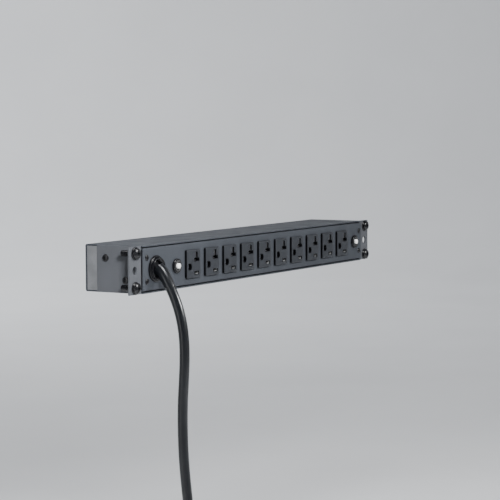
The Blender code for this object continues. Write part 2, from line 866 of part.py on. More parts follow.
def make_coil(finishes):
    """The outer shape of the wound-up cord, with a tie round its turns."""
    low, high = COIL_MID_RADIUS - COIL_HALF_WIDTH, COIL_MID_RADIUS + COIL_HALF_WIDTH
    edge, top = COIL_EDGE, COIL_HEIGHT
    profile = [
        (low + edge, 0),
        (high - edge, 0),
        (high, edge),
        (high, top - edge),
        (high - edge, top),
        (low + edge, top),
        (low, top - edge),
        (low, edge),
    ]
    turned("cord_coil", profile, (*COIL_CENTRE, COIL_BASE_Z), (0, 0, 1), finishes["cord_pvc"], 40)
    inner = (COIL_HALF_WIDTH + 3 * GAP, COIL_HEIGHT / 2 + GAP)
    corners = [(-1, -1), (1, -1), (1, 1), (-1, 1)]
    rings = []
    for extra, cut_corner in ((0.0, edge), (TIE_THICK, edge + 0.5)):
        wide, tall = inner[0] + extra, inner[1] + extra
        ring = []
        for a, b in corners:
            near = [(a * (wide - cut_corner), b * tall), (a * wide, b * (tall - cut_corner))]
            ring += near if a * b < 0 else near[::-1]
        rings.append(ring)
    bm = bmesh.new()
    turn = Matrix.Rotation(math.radians(TIE_ANGLE), 3, "Z")
    centre = Vector((*COIL_CENTRE, COIL_BASE_Z + COIL_HEIGHT / 2))
    layers = [
        [
            [bm.verts.new(turn @ Vector((COIL_MID_RADIUS + r, y, z)) + centre) for r, z in ring]
            for ring in rings
        ]
        for y in (-TIE_HALF_WIDTH, TIE_HALF_WIDTH)
    ]
    (inner_a, outer_a), (inner_b, outer_b) = layers
    for i in range(len(inner_a)):
        j = (i + 1) % len(inner_a)
        bm.faces.new((inner_a[i], inner_a[j], inner_b[j], inner_b[i]))
        bm.faces.new((outer_a[i], outer_a[j], outer_b[j], outer_b[i]))
        bm.faces.new((inner_a[i], inner_a[j], outer_a[j], outer_a[i]))
        bm.faces.new((inner_b[i], inner_b[j], outer_b[j], outer_b[i]))
    add_object("coil_tie", bm, finishes["hook_tape"])


def make_plug(finishes):
    """A straight NEMA 5-20P plug, lying on the coil with its blades towards +Y."""
    axis_z = COIL_BASE_Z + COIL_HEIGHT + GAP + PLUG_RADIUS
    x = COIL_CENTRE[0] + PLUG_OFFSET[0]
    face_y = COIL_CENTRE[1] + PLUG_OFFSET[1]
    profile = [
        (0, 0),
        (PLUG_RADIUS - 1, 0),
        (PLUG_RADIUS, 1),
        (PLUG_RADIUS, 16),
        (PLUG_RADIUS - 3, 24),
        (PLUG_RADIUS - 7, PLUG_LENGTH),
        (7.4, PLUG_LENGTH + 2),
        (5.8, PLUG_LENGTH + PLUG_TAIL),
        (0, PLUG_LENGTH + PLUG_TAIL),
    ]
    turned("plug_body", profile, (x, face_y, axis_z), (0, -1, 0), finishes["cord_pvc"], 28)
    half_pitch = BLADE_PITCH / 2
    tip, root = face_y + BLADE_LENGTH, face_y + GAP
    thin, wide = BLADE_HALF
    box(
        "plug_blade_line",
        (x + half_pitch - thin, root, axis_z - wide),
        (x + half_pitch + thin, tip, axis_z + wide),
        finishes["brass"],
        0.35,
    )
    box(
        "plug_blade_neutral",
        (x - half_pitch - wide, root, axis_z - thin),
        (x - half_pitch + wide, tip, axis_z + thin),
        finishes["brass"],
        0.35,
    )
    pin = [
        (0, 0),
        (PIN_RADIUS, 0),
        (PIN_RADIUS, PIN_LENGTH - 2),
        (PIN_RADIUS - 1, PIN_LENGTH),
        (0, PIN_LENGTH),
    ]
    turned(
        "plug_pin_earth",
        pin,
        (x, root, axis_z - EARTH_OFFSET),
        (0, 1, 0),
        finishes["brass"],
        12,
    )


def build():
    clear_scene()
    finishes = make_materials()
    make_front_panel(finishes)
    make_housing(finishes)
    for side, word in ((-1, "left"), (1, "right")):
        make_end_plate(f"end_plate_{word}", side, finishes)
        make_ear_bracket(f"ear_bracket_{word}", side, finishes)
    make_fasteners(finishes)
    for i, x in enumerate(socket_centres()):
        make_socket(f"socket_{i + 1:02d}", x, finishes["socket"])
    make_bus_bars(finishes)
    for word, x in zip(("left", "right"), BREAKER_X):
        make_breaker(word, x, finishes)
    make_cord_entry(finishes)
    make_wiring(finishes)
    make_power_cord(finishes)
    make_coil(finishes)
    make_plug(finishes)


build()
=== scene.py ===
"""Looks of the rack power strip: refined pieces, finishes, floor, lights and camera.

Pieces are built in millimetres in the row frame and scaled to metres: +X runs along the
strip to the right as seen from the front, +Y into the rack and +Z is up.
"""

import math

import bmesh
import bpy
from mathutils import Matrix, Vector


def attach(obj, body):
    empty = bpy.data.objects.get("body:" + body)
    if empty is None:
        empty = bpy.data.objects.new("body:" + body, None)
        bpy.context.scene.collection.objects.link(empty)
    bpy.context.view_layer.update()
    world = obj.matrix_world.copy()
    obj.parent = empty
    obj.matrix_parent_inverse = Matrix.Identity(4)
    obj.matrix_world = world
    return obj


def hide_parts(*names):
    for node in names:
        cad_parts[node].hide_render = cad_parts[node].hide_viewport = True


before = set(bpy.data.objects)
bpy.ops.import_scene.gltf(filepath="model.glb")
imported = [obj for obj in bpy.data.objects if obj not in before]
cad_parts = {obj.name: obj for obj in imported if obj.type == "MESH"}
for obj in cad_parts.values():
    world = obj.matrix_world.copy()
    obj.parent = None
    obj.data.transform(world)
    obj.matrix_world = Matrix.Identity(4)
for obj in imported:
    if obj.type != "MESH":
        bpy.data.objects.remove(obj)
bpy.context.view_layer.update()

MM = 0.001
GAP = 0.3

# Sizes that repeat the CAD
HALF_WIDTH = 221.2
BODY_FRONT, BODY_BACK, BODY_HALF_HEIGHT = -3.6, 60.4, 22.0
SHEET, PANEL_THICK, PANEL_HALF_HEIGHT = 1.2, 1.5, 19.8
FLANGE_DEPTH = 11.6
EAR_THICK, EAR_TIP, EAR_HALF_HEIGHT, LEG_BACK = 2.0, 241.3, 21.8, 46.0
RACK_SCREW = (232.55, 15.875)
FACE_SCREW = (215.5, 11.0)
BRACKET_SCREWS = ((14.0, -10.0), (36.0, 10.0))
SOCKETS, FIRST_SOCKET_X, SOCKET_PITCH = 10, -137.8, 34.35
SOCKET_FACE, SOCKET_NECK, SOCKET_PROUD, SOCKET_BACK = (24.4, 26.8), (22.6, 25.0), 2.7, 14.0
SLOT_X, SLOT_MID_Z, BLADE_HALF_PITCH, EARTH_OFFSET, SLOT_DEPTH = 5.0, -2.6, 6.35, 11.9, 13.0
LEAD_IN_MARGIN, LEAD_IN_DEPTH = 0.55, 0.5
BREAKERS = (("left", -165.8), ("right", 203.0))
BUTTON_RADIUS = 2.5
GLAND_X, GLAND_RADIUS, GLAND_THREAD, GLAND_NOSE, GLAND_REACH = -201.0, 12.3, 7.6, 10.6, 4.4
GLAND_MOUTH, EXIT_TILT = (6.9, 9.4), 28.0
GLAND_LIP = BODY_FRONT - GAP
CORD_DIAMETER, CORD_LENGTH = 9.5, 3.66
BOOT_LENGTH, BOOT_RADIUS = 24.0, 6.2
FLOOR_Z = -320.0
COIL_CENTRE, COIL_MID_RADIUS, COIL_HALF_WIDTH = (-145.0, 17.9), 54.0, 19.2
COIL_HEIGHT, COIL_BASE_Z = 29.0, FLOOR_Z + 2.0
TIE_ANGLE, TIE_HALF_WIDTH, TIE_THICK = 115.0, 5.0, 1.3
PLUG_OFFSET, PLUG_RADIUS, PLUG_LENGTH, PLUG_TAIL = (60.0, 39.0), 17.0, 34.0, 26.0
CORD_ROUTE = [
    (-201.0, -7.3, -0.4),
    (-201.4, -10.8, -2.6),
    (-202.3, -13.9, -5.5),
    (-203.3, -16.8, -9.0),
    (-204.2, -20.4, -14.0),
    (-204.8, -23.7, -19.3),
    (-205.2, -27.3, -26.2),
    (-205.4, -30.7, -34.2),
    (-205.5, -33.6, -43.4),
    (-205.5, -35.9, -54.6),
    (-205.5, -37.2, -68.0),
    (-205.5, -37.3, -84.0),
    (-205.5, -36.4, -102.0),
    (-205.5, -35.2, -122.0),
    (-205.5, -34.9, -146.0),
    (-205.5, -36.0, -174.0),
    (-205.4, -38.8, -204.0),
    (-205.5, -42.6, -232.0),
    (-205.5, -46.2, -254.0),
    (-205.2, -48.5, -270.0),
    (-202.8, -49.6, -285.2),
    (-195.7, -50.2, -298.3),
    (-184.5, -50.5, -307.7),
    (-170.8, -50.5, -312.6),
    (-160.0, -50.5, -313.3),
    (-152.0, -50.5, -313.3),
]


# Camera ------------------------------------------------------------------------------


def make_camera():
    data = bpy.data.cameras.new("camera")
    data.sensor_width = 36.0
    data.lens = 133.35
    camera = bpy.data.objects.new("camera", data)
    bpy.context.scene.collection.objects.link(camera)
    right = Vector((0.49905, -0.86656, -0.00425)).normalized()
    forward = Vector((0.86405, 0.49797, -0.07375)).normalized()
    up = right.cross(forward)
    turn = Matrix((right, up, -forward)).transposed()
    camera.matrix_world = Matrix.Translation((-1.62712, -0.92595, 0.14215)) @ turn.to_4x4()
    bpy.context.scene.camera = camera


make_camera()


# Finishes ----------------------------------------------------------------------------


class Finish:
    """A Principled material whose colour, roughness and bump are built from noises."""

    def __init__(self, name, colour, roughness, metallic=0.0, **sockets):
        self.material = bpy.data.materials.new(name)
        self.material.use_nodes = True
        self.tree = self.material.node_tree
        self.shader = self.tree.nodes["Principled BSDF"]
        self.set("Base Color", (*colour, 1.0))
        self.set("Roughness", roughness)
        self.set("Metallic", metallic)
        for key, value in sockets.items():
            self.set(key.replace("_", " "), value)
        self.place = self.tree.nodes.new("ShaderNodeTexCoord").outputs["Object"]
        self.height = None

    def set(self, socket, value):
        self.shader.inputs[socket].default_value = value

    def link(self, source, target):
        self.tree.links.new(source, target)

    def noise(self, scale, detail=4.0, rough=0.55, stretch=(1, 1, 1)):
        mapping = self.tree.nodes.new("ShaderNodeMapping")
        mapping.inputs["Scale"].default_value = stretch
        self.link(self.place, mapping.inputs["Vector"])
        node = self.tree.nodes.new("ShaderNodeTexNoise")
        node.inputs["Scale"].default_value = scale
        node.inputs["Detail"].default_value = detail
        node.inputs["Roughness"].default_value = rough
        self.link(mapping.outputs["Vector"], node.inputs["Vector"])
        return node.outputs["Fac"]

    def remap(self, source, low, high, to_low, to_high):
        node = self.tree.nodes.new("ShaderNodeMapRange")
        for socket, value in zip(("From Min", "From Max", "To Min", "To Max"), (low, high, to_low, to_high)):
            node.inputs[socket].default_value = value
        self.link(source, node.inputs["Value"])
        return node.outputs["Result"]

    def tint(self, source, other, low=0.35, high=0.65):
        """Blends the base colour towards another one by a noise."""
        node = self.tree.nodes.new("ShaderNodeMix")
        node.data_type = "RGBA"
        before = self.shader.inputs["Base Color"]
        node.inputs["A"].default_value = before.default_value
        node.inputs["B"].default_value = (*other, 1.0)
        if before.is_linked:
            self.link(before.links[0].from_socket, node.inputs["A"])
        self.link(self.remap(source, low, high, 0.0, 1.0), node.inputs["Factor"])
        self.link(node.outputs["Result"], before)

    def vary_roughness(self, source, low, high):
        self.link(self.remap(source, 0.3, 0.7, low, high), self.shader.inputs["Roughness"])

    def bump(self, source, depth, strength=1.0):
        node = self.tree.nodes.new("ShaderNodeBump")
        node.inputs["Strength"].default_value = strength
        node.inputs["Distance"].default_value = depth
        self.link(source, node.inputs["Height"])
        if self.height is not None:
            self.link(self.height, node.inputs["Normal"])
        self.height = node.outputs["Normal"]
        self.link(self.height, self.shader.inputs["Normal"])


def powder_coat(name, colour, roughness=(0.44, 0.58)):
    made = Finish(name, colour, 0.5, Specular_IOR_Level=0.06)
    grain = made.noise(950.0, 3.0)
    made.tint(made.noise(22.0, 6.0), [c * 1.16 for c in colour])
    made.tint(made.noise(2400.0, 2.0), [c * 1.5 for c in colour], 0.6, 0.8)
    made.vary_roughness(made.noise(60.0, 5.0), *roughness)
    made.bump(grain, 0.00008, 0.7)
    made.bump(made.noise(260.0, 3.0), 0.00008, 0.3)
    return made.material


def moulded(name, colour, roughness, grain=1400.0, depth=0.00003, **sockets):
    made = Finish(name, colour, roughness, **sockets)
    made.tint(made.noise(35.0, 5.0), [c * 1.2 for c in colour])
    made.tint(made.noise(900.0, 3.0), [c * 0.8 for c in colour], 0.55, 0.75)
    made.vary_roughness(made.noise(120.0, 4.0), roughness * 0.86, roughness * 1.16)
    made.bump(made.noise(grain, 2.0), depth, 0.5)
    return made.material


def metal(name, colour, roughness, stretch=(1, 1, 1), **sockets):
    made = Finish(name, colour, roughness, 1.0, **sockets)
    made.tint(made.noise(80.0, 6.0), [c * 0.78 for c in colour])
    made.vary_roughness(made.noise(500.0, 4.0, stretch=stretch), roughness * 0.75, roughness * 1.35)
    made.bump(made.noise(700.0, 3.0, stretch=stretch), 0.00002, 0.4)
    return made.material


def vinyl(name, colour, roughness, coat):
    """Extruded cable jacket: smooth, with a faint orange peel and a soft gloss."""
    made = Finish(name, colour, roughness, Coat_Weight=coat, Coat_Roughness=0.2)
    made.tint(made.noise(30.0, 3.0), [c * 1.3 for c in colour], 0.4, 0.7)
    made.vary_roughness(made.noise(40.0, 3.0), roughness * 0.95, roughness * 1.1)
    made.bump(made.noise(300.0, 1.0), 0.000004, 0.2)
    return made.material


def hook_tape(name, colour):
    made = Finish(name, colour, 0.85, Sheen_Weight=0.35, Sheen_Roughness=0.5)
    loops = made.tree.nodes.new("ShaderNodeTexVoronoi")
    loops.inputs["Scale"].default_value = 1500.0
    made.link(made.place, loops.inputs["Vector"])
    made.tint(loops.outputs["Distance"], [c * 2.6 for c in colour], 0.1, 0.6)
    made.vary_roughness(made.noise(300.0), 0.75, 0.95)
    made.bump(loops.outputs["Distance"], 0.0003, 0.8)
    return made.material


FINISHES = {
    "powder_coat": powder_coat("satin_charcoal_coat", (0.043, 0.047, 0.054)),
    # A lighter copy of the charcoal coat for the ears: painted light, standing in for the extra light the
    # ears catch.
    "ear_coat_painted_light": powder_coat("satin_charcoal_ear_painted_light", (0.070, 0.073, 0.080)),
    "plated_steel": metal("zinc_plate", (0.52, 0.53, 0.55), 0.36, (1, 1, 5)),
    "socket_plastic": moulded("socket_plastic", (0.021, 0.023, 0.027), 0.42, Specular_IOR_Level=0.3),
    # A near-black copy of the socket plastic: painted shade on the socket side walls and inside the
    # openings.
    "socket_painted_shade": moulded("socket_painted_shade", (0.0015, 0.0015, 0.002), 0.4, Specular_IOR_Level=0.12),
    "contact": metal("plated_contact", (0.90, 0.90, 0.89), 0.35, (1, 4, 1)),
    "black_steel": moulded("black_oxide", (0.004, 0.004, 0.005), 0.26, 900.0, 0.000005),
    "black_nylon": moulded(
        "gloss_nylon", (0.004, 0.004, 0.005), 0.24, 600.0, 0.000004, Specular_IOR_Level=0.35
    ),
    "cord_vinyl": vinyl("cord_vinyl", (0.0035, 0.0040, 0.0052), 0.32, 0.3),
    "plug_vinyl": moulded("plug_vinyl", (0.009, 0.009, 0.010), 0.38, 800.0, 0.00004, Coat_Weight=0.2),
    "breaker_plastic": moulded("phenolic", (0.018, 0.018, 0.019), 0.45, 700.0, 0.00004),
    "button_plastic": moulded("white_button", (0.93, 0.93, 0.91), 0.3, 500.0, 0.00001, Coat_Weight=0.4),
    "brass": metal("satin_brass", (0.80, 0.58, 0.28), 0.3, (1, 4, 1)),
    "lead_black": vinyl("lead_black", (0.012, 0.012, 0.012), 0.4, 0.2),
    "lead_white": vinyl("lead_white", (0.46, 0.46, 0.44), 0.4, 0.2),
    "lead_green": vinyl("lead_green", (0.03, 0.20, 0.06), 0.4, 0.2),
    "hook_tape": hook_tape("hook_tape", (0.010, 0.010, 0.011)),
}


# Building blocks ---------------------------------------------------------------------


def new_object(name, bm, finish):
    bmesh.ops.scale(bm, vec=(MM, MM, MM), verts=bm.verts)
    bmesh.ops.recalc_face_normals(bm, faces=bm.faces)
    mesh = bpy.data.meshes.new(name)
    bm.to_mesh(mesh)
    bm.free()
    obj = bpy.data.objects.new(name, mesh)
    bpy.context.scene.collection.objects.link(obj)
    if finish:
        mesh.materials.append(FINISHES[finish])
    return obj


def apply_modifiers(obj):
    dg = bpy.context.evaluated_depsgraph_get()
    mesh = bpy.data.meshes.new_from_object(obj.evaluated_get(dg))
    obj.modifiers.clear()
    obj.data = mesh


def cut(obj, cutter, operation="DIFFERENCE"):
    """Cuts another mesh out of obj, or joins it on, at once, and removes the cutter."""
    step = obj.modifiers.new("cut", "BOOLEAN")
    step.operation = operation
    step.solver = "EXACT"
    step.material_mode = "TRANSFER"
    step.object = cutter
    apply_modifiers(obj)
    bpy.data.objects.remove(cutter, do_unlink=True)


def soften(obj, width, segments=2, angle=32.0):
    edge = obj.modifiers.new("soften", "BEVEL")
    edge.width = width * MM
    edge.segments = segments
    edge.limit_method = "ANGLE"
    edge.angle_limit = math.radians(angle)
    edge.harden_normals = True
    apply_modifiers(obj)


def shade(obj, angle=35.0):
    obj.data.shade_smooth()
    obj.data.set_sharp_from_angle(angle=math.radians(angle))
    return obj


def stand_for(obj, body, slot, *nodes):
    if nodes:
        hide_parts(*nodes)
    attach(obj, body)
    return obj


def circle(centre, radius, segments):
    turn = 2 * math.pi / segments
    cx, cz = centre
    return [(cx + radius * math.cos(i * turn), cz + radius * math.sin(i * turn)) for i in range(segments)]


def rounded(points, radii, steps=6):
    """The outline with an arc at each corner whose radius isn't zero."""
    out = []
    count = len(points)
    for i, (corner, radius) in enumerate(zip(points, radii)):
        here = Vector(corner)
        if radius <= 0:
            out.append(tuple(here))
            continue
        before = (Vector(points[i - 1]) - here).normalized()
        after = (Vector(points[(i + 1) % count]) - here).normalized()
        half = before.angle(after) / 2
        middle = here + (before + after).normalized() * (radius / math.sin(half))
        start = here + before * (radius / math.tan(half)) - middle
        end = here + after * (radius / math.tan(half)) - middle
        sweep = start.angle_signed(end)
        for k in range(steps + 1):
            out.append(tuple(middle + Matrix.Rotation(-sweep * k / steps, 2) @ start))
    return out


def rectangle(low, high):
    return [(low[0], low[1]), (high[0], low[1]), (high[0], high[1]), (low[0], high[1])]


def add_prism(bm, outline, axis, start, end):
    others = [k for k in range(3) if k != axis]
    rings = []
    for level in (start, end):
        ring = []
        for point in outline:
            place = [0.0, 0.0, 0.0]
            place[axis] = level
            place[others[0]], place[others[1]] = point
            ring.append(bm.verts.new(place))
        rings.append(ring)
    first, last = rings
    bm.faces.new(first)
    bm.faces.new(list(reversed(last)))
    for i in range(len(outline)):
        j = (i + 1) % len(outline)
        bm.faces.new((first[j], first[i], last[i], last[j]))


def add_box(bm, low, high):
    add_prism(bm, rectangle((low[0], low[2]), (high[0], high[2])), 1, low[1], high[1])


def prism(name, outline, axis, start, end, finish):
    bm = bmesh.new()
    add_prism(bm, outline, axis, start, end)
    return new_object(name, bm, finish)


def frame_of(axis):
    return Vector((0, 0, 1)).rotation_difference(Vector(axis)).to_matrix()


def add_turned(bm, profile, centre, axis, segments, wobble=None):
    """Turns (radius, along) pairs about an axis; wobble scales a radius by angle and length."""
    turn_to, place = frame_of(axis), Vector(centre)
    rings = []
    for radius, along in profile:
        if radius == 0:
            rings.append([bm.verts.new(turn_to @ Vector((0, 0, along)) + place)])
            continue
        ring = []
        for i in range(segments):
            angle = 2 * math.pi * i / segments
            r = radius * (wobble(angle, along) if wobble else 1.0)
            spot = Vector((r * math.cos(angle), r * math.sin(angle), along))
            ring.append(bm.verts.new(turn_to @ spot + place))
        rings.append(ring)
    closed = profile[0][0] > 0 and profile[-1][0] > 0
    pairs = list(zip(rings, rings[1:])) + ([(rings[-1], rings[0])] if closed else [])
    for low, high in pairs:
        for i in range(segments):
            j = (i + 1) % segments
            corners = [low[i % len(low)], low[j % len(low)], high[j % len(high)], high[i % len(high)]]
            bm.faces.new(list(dict.fromkeys(corners)))


def turned(name, profile, centre, axis, finish, segments=64, wobble=None):
    bm = bmesh.new()
    add_turned(bm, profile, centre, axis, segments, wobble)
    return new_object(name, bm, finish)


def arc_profile(centre, radius, start, end, steps):
    """Points of an arc in (radius, along) space, angles in degrees."""
    return [
        (
            centre[0] + radius * math.cos(math.radians(start + (end - start) * k / steps)),
            centre[1] + radius * math.sin(math.radians(start + (end - start) * k / steps)),
        )
        for k in range(steps + 1)
    ]


def thread_wobble(radius, depth, pitch, start, end):
    """A helical V thread cut into a shank, fading out at both ends."""

    def wobble(angle, along):
        phase = (along / pitch - angle / (2 * math.pi)) % 1.0
        groove = 1.0 - abs(2 * phase - 1.0)
        fade = max(0.0, min(1.0, (along - start) / pitch, (end - along) / pitch))
        return 1.0 - depth / radius * groove * fade

    return wobble


def cross_outline(centre, arm, width):
    half = width / 2
    out = []
    for k in range(4):
        for point in ((half, half), (half, arm), (-half, arm)):
            out.append(tuple(Matrix.Rotation(k * math.pi / 2, 2) @ Vector(point) + Vector(centre)))
    return out


def screw(name, centre, axis, head, shank, drive, pitch):
    """A pan-head screw with a domed head, a cross recess and a helical thread."""
    radius, height = head
    shank_radius, length = shank
    profile = [(0, -length), (shank_radius * 0.72, -length)]
    count = int((length - 1) / pitch * 8)
    start, end = -length + 0.5, -0.6
    profile += [(shank_radius, start + (end - start) * k / count) for k in range(count + 1)]
    profile += [(shank_radius, 0.0), (radius, 0.0), (radius, height * 0.25)]
    dome = [
        (radius * math.cos(a), height * (0.25 + 0.75 * math.sin(a)))
        for a in (k * math.pi / 16 for k in range(1, 8))
    ]
    profile += [*dome, (0, height)]
    thread = thread_wobble(shank_radius, pitch * 0.5, pitch, -length + 0.4, -1.0)

    def wobble(angle, along):
        return thread(angle, along) if along < -0.5 else 1.0

    made = turned(name, profile, centre, axis, "black_steel", 40, wobble)
    arm, width, deep = drive
    along = next(k for k in range(3) if axis[k])
    others = [k for k in range(3) if k != along]
    bm = bmesh.new()
    cross = cross_outline((centre[others[0]], centre[others[1]]), arm, width)
    levels = [centre[along] + axis[along] * (height - deep), centre[along] + axis[along] * (height + 1)]
    add_prism(bm, cross, along, *levels)
    cut(made, new_object("cutter", bm, None))
    return shade(made, 40)


def route_through(points, spacing):
    """Points about one spacing apart on a centripetal Catmull-Rom curve."""
    nodes = [Vector(p) for p in points]
    nodes = [2 * nodes[0] - nodes[1], *nodes, 2 * nodes[-1] - nodes[-2]]
    fine = []
    for p0, p1, p2, p3 in zip(nodes, nodes[1:], nodes[2:], nodes[3:]):
        t1 = math.sqrt((p1 - p0).length)
        t2 = t1 + math.sqrt((p2 - p1).length)
        t3 = t2 + math.sqrt((p3 - p2).length)
        for k in range(12):
            t = t1 + (t2 - t1) * k / 12
            a1 = p0.lerp(p1, t / t1)
            a2 = p1.lerp(p2, (t - t1) / (t2 - t1))
            a3 = p2.lerp(p3, (t - t2) / (t3 - t2))
            b1 = a1.lerp(a2, t / t2)
            b2 = a2.lerp(a3, (t - t1) / (t3 - t1))
            fine.append(b1.lerp(b2, (t - t1) / (t2 - t1)))
    fine.append(nodes[-2])
    length = sum((b - a).length for a, b in zip(fine, fine[1:]))
    count = max(2, round(length / spacing))
    out, walked, target = [fine[0]], 0.0, length / count
    for a, b in zip(fine, fine[1:]):
        step = (b - a).length
        while walked + step >= target - 1e-6 and len(out) < count:
            out.append(a.lerp(b, (target - walked) / step))
            target += length / count
        walked += step
    out.append(fine[-1])
    return out


# Cord, coil, tie and plug ------------------------------------------------------------


def smooth_step(t):
    t = max(0.0, min(1.0, t))
    return t * t * (3 - 2 * t)


def on_coil(radius, angle, z):
    return (COIL_CENTRE[0] + radius * math.cos(angle), COIL_CENTRE[1] + radius * math.sin(angle), z)


def coil_route():
    """Turns laid in flat rows, inwards, outwards and inwards again, each row on the last.

    A fifth of every turn is kept for each kind of step, so a lane is empty before the
    cord moves into it.
    """
    column, row = 9.6, 9.55
    outer = COIL_MID_RADIUS + 1.5 * column
    lanes = [(0, 0), (1, 0), (2, 0), (3, 0), (3, 1), (2, 1), (1, 1), (0, 1), (0, 2), (1, 2), (2, 2)]
    phase_of = {(2, 2): 0, (1, 2): 1, (1, 1): 2, (0, 1): 3, (0, 0): 4}
    per_turn = 40
    base = COIL_BASE_Z + CORD_DIAMETER / 2
    points = []
    end_turns = 8 + (214 + 90) / 360
    for i in range(int(end_turns * per_turn) + 1):
        turns = i / per_turn
        k, part = int(turns), turns % 1.0
        (c0, r0), (c1, r1) = lanes[k], lanes[k + 1]
        t = smooth_step(part * 5 - phase_of[(r0, r1)])
        radius = outer - column * (c0 + (c1 - c0) * t)
        z = base + row * (r0 + (r1 - r0) * t)
        angle = 2 * math.pi * turns - math.pi / 2
        points.append(on_coil(radius, angle, z))
    top = base + 2 * row
    tail = [(229, 58.8, 1.2), (244, 58.9, 4.8), (259, 59.2, 9.8), (274, 60.0, 14.8), (289, 61.4, 18.8)]
    tail += [(303, 62.8, 21.4), (316, 63.8, 22.4)]
    for degrees, radius, lift in tail:
        points.append(on_coil(radius, math.radians(degrees), top + lift))
    axis_z = COIL_BASE_Z + COIL_HEIGHT + GAP + PLUG_RADIUS
    for x, y in ((56.0, -32.6), (59.2, -26.0), (60.0, -17.0)):
        points.append((COIL_CENTRE[0] + x, COIL_CENTRE[1] + y, axis_z))
    return points


def make_cord():
    route = [Vector(p) for p in route_through([*CORD_ROUTE, *coil_route()], 3.5)]
    curve = bpy.data.curves.new("power_cord_run", "CURVE")
    curve.dimensions = "3D"
    curve.bevel_depth = CORD_DIAMETER / 2 * MM
    curve.bevel_resolution = 6
    curve.use_fill_caps = True
    line = curve.splines.new("POLY")
    line.points.add(len(route) - 1)
    for target, point in zip(line.points, route):
        target.co = (*(point * MM), 1.0)
    line.use_smooth = True
    curve.materials.append(FINISHES["cord_vinyl"])
    cord = bpy.data.objects.new("power_cord_run", curve)
    bpy.context.scene.collection.objects.link(cord)
    return cord


def make_boot():
    """The tapered strain relief, with an eased free end."""
    route = route_through(CORD_ROUTE, 0.5)
    steps = round(BOOT_LENGTH / 0.5)
    wide, narrow = BOOT_RADIUS, CORD_DIAMETER / 2 + 0.1
    bm = bmesh.new()
    rings, side, segments = [], None, 48
    for i in range(steps + 1):
        along = i / steps
        radius = wide + (narrow - wide) * along
        if i >= steps - 1:
            radius -= 0.25 * (i - steps + 2)
        ahead = (route[i + 1] - route[max(i - 1, 0)]).normalized()
        if side is None:
            tilt = math.radians(EXIT_TILT)
            ahead = Vector((0, -math.cos(tilt), -math.sin(tilt)))
            side = ahead.cross(Vector((0, 0, 1))).normalized()
        side = (side - ahead * side.dot(ahead)).normalized()
        up = ahead.cross(side)
        spots = circle((0, 0), radius, segments)
        rings.append([bm.verts.new(route[i] + side * x + up * y) for x, y in spots])
    for low, high in zip(rings, rings[1:]):
        for i in range(segments):
            j = (i + 1) % segments
            bm.faces.new((low[i], low[j], high[j], high[i]))
    bm.faces.new(list(reversed(rings[0])))
    bm.faces.new(rings[-1])
    return shade(new_object("boot", bm, "cord_vinyl"))


def make_tie():
    """A hook-and-loop strap round the turns, with its free end lapped on top."""
    band, tall = COIL_HALF_WIDTH + 3 * GAP, COIL_HEIGHT / 2 + GAP
    corner = 4.5
    inner = rounded(rectangle((-band, -tall), (band, tall)), [corner] * 4, 5)
    wide, high = band + TIE_THICK, tall + TIE_THICK
    outer = rounded(rectangle((-wide, -high), (wide, high)), [corner + TIE_THICK] * 4, 5)
    bm = bmesh.new()
    turn = Matrix.Rotation(math.radians(TIE_ANGLE), 3, "Z")
    centre = Vector((*COIL_CENTRE, COIL_BASE_Z + COIL_HEIGHT / 2))
    half = TIE_HALF_WIDTH
    layers = []
    for y, shrink in ((-half, 0.3), (-half + 0.5, 0.0), (0.0, 0.0), (half - 0.5, 0.0), (half, 0.3)):
        pair = []
        for ring, sign in ((inner, 1), (outer, -1)):
            spots = []
            for r, z in ring:
                spot = Vector((COIL_MID_RADIUS + r, y, z))
                pull = Vector((r, 0, z)).normalized() * (sign * shrink)
                spots.append(bm.verts.new(turn @ (spot + pull) + centre))
            pair.append(spots)
        layers.append(pair)
    count = len(inner)
    for (in_a, out_a), (in_b, out_b) in zip(layers, layers[1:]):
        for i in range(count):
            j = (i + 1) % count
            bm.faces.new((in_a[i], in_a[j], in_b[j], in_b[i]))
            bm.faces.new((out_a[i], out_b[i], out_b[j], out_a[j]))
    for (ring_in, ring_out), flip in ((layers[0], False), (layers[-1], True)):
        for i in range(count):
            j = (i + 1) % count
            face = (ring_in[i], ring_out[i], ring_out[j], ring_in[j])
            bm.faces.new(tuple(reversed(face)) if flip else face)
    tie = new_object("cord_tie", bm, "hook_tape")
    bm = bmesh.new()
    path = [(wide - 0.6 + 0.2, -2.0), (wide + 0.55, 1.5), (wide + 0.7, 5.0), (wide + 0.5, 8.0)]
    for (r0, z0), (r1, z1) in zip(path, path[1:]):
        spots = []
        edge = half - 0.3
        for r, z, y in ((r0, z0, -edge), (r1, z1, -edge), (r1, z1, edge), (r0, z0, edge)):
            spots.append(bm.verts.new(turn @ Vector((COIL_MID_RADIUS + r, y, z)) + centre))
        bm.faces.new(spots)
    bmesh.ops.remove_doubles(bm, verts=bm.verts, dist=0.01)
    flap = new_object("cord_tie_end", bm, "hook_tape")
    thick = flap.modifiers.new("thick", "SOLIDIFY")
    thick.thickness = 1.0 * MM
    thick.offset = 0.0
    apply_modifiers(flap)
    flap.parent = tie
    return tie


